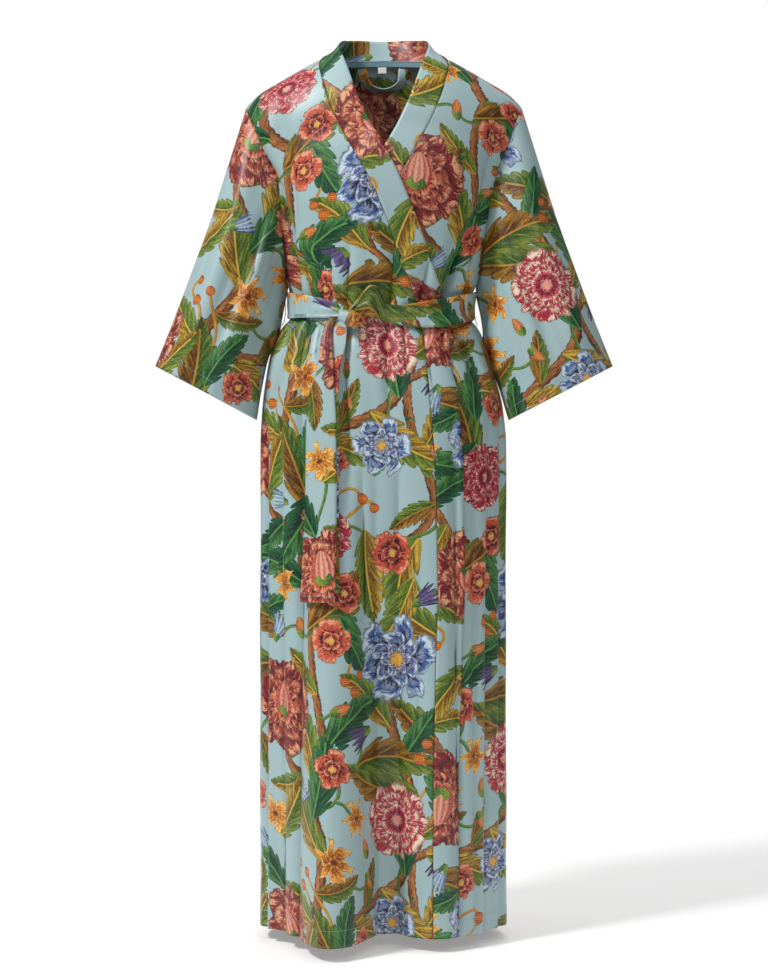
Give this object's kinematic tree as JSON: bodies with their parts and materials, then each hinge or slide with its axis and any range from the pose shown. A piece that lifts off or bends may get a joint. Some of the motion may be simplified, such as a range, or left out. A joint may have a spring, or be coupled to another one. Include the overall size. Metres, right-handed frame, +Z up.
{
  "type": "kimono robe",
  "caption": "Long wrap robe with wide elbow sleeves and a collar band, filled out as if worn and tied with its own sash.",
  "frame": {"origin": "the middle of the neck base, level with the points where the shoulder seams meet the collar band", "axes": "+Z up along the body, the longest extent; -Y towards the front where the robe laps; +X to the wearer's left; Y is the shortest extent"},
  "size_m": [0.6808, 0.3218, 1.3358],
  "materials": {
    "robe_cloth": "printed satin weave, soft sheen",
    "neck_tape": "woven tape",
    "label": "plain woven label",
    "thread": "braided thread"
  },
  "bodies": {
    "root": {"front_right": "robe_cloth", "front_left": "robe_cloth", "back": "robe_cloth", "sleeve_right": "robe_cloth", "sleeve_left": "robe_cloth", "collar_band": "robe_cloth", "sash_waist": "robe_cloth", "sash_knot": "robe_cloth", "sash_end_front": "robe_cloth", "sash_end_back": "robe_cloth", "hanging_loop": "robe_cloth", "neck_tape": "neck_tape", "neck_label": "label", "sash_loop_right": "thread", "sash_loop_left": "thread"}
  },
  "joints": []
}
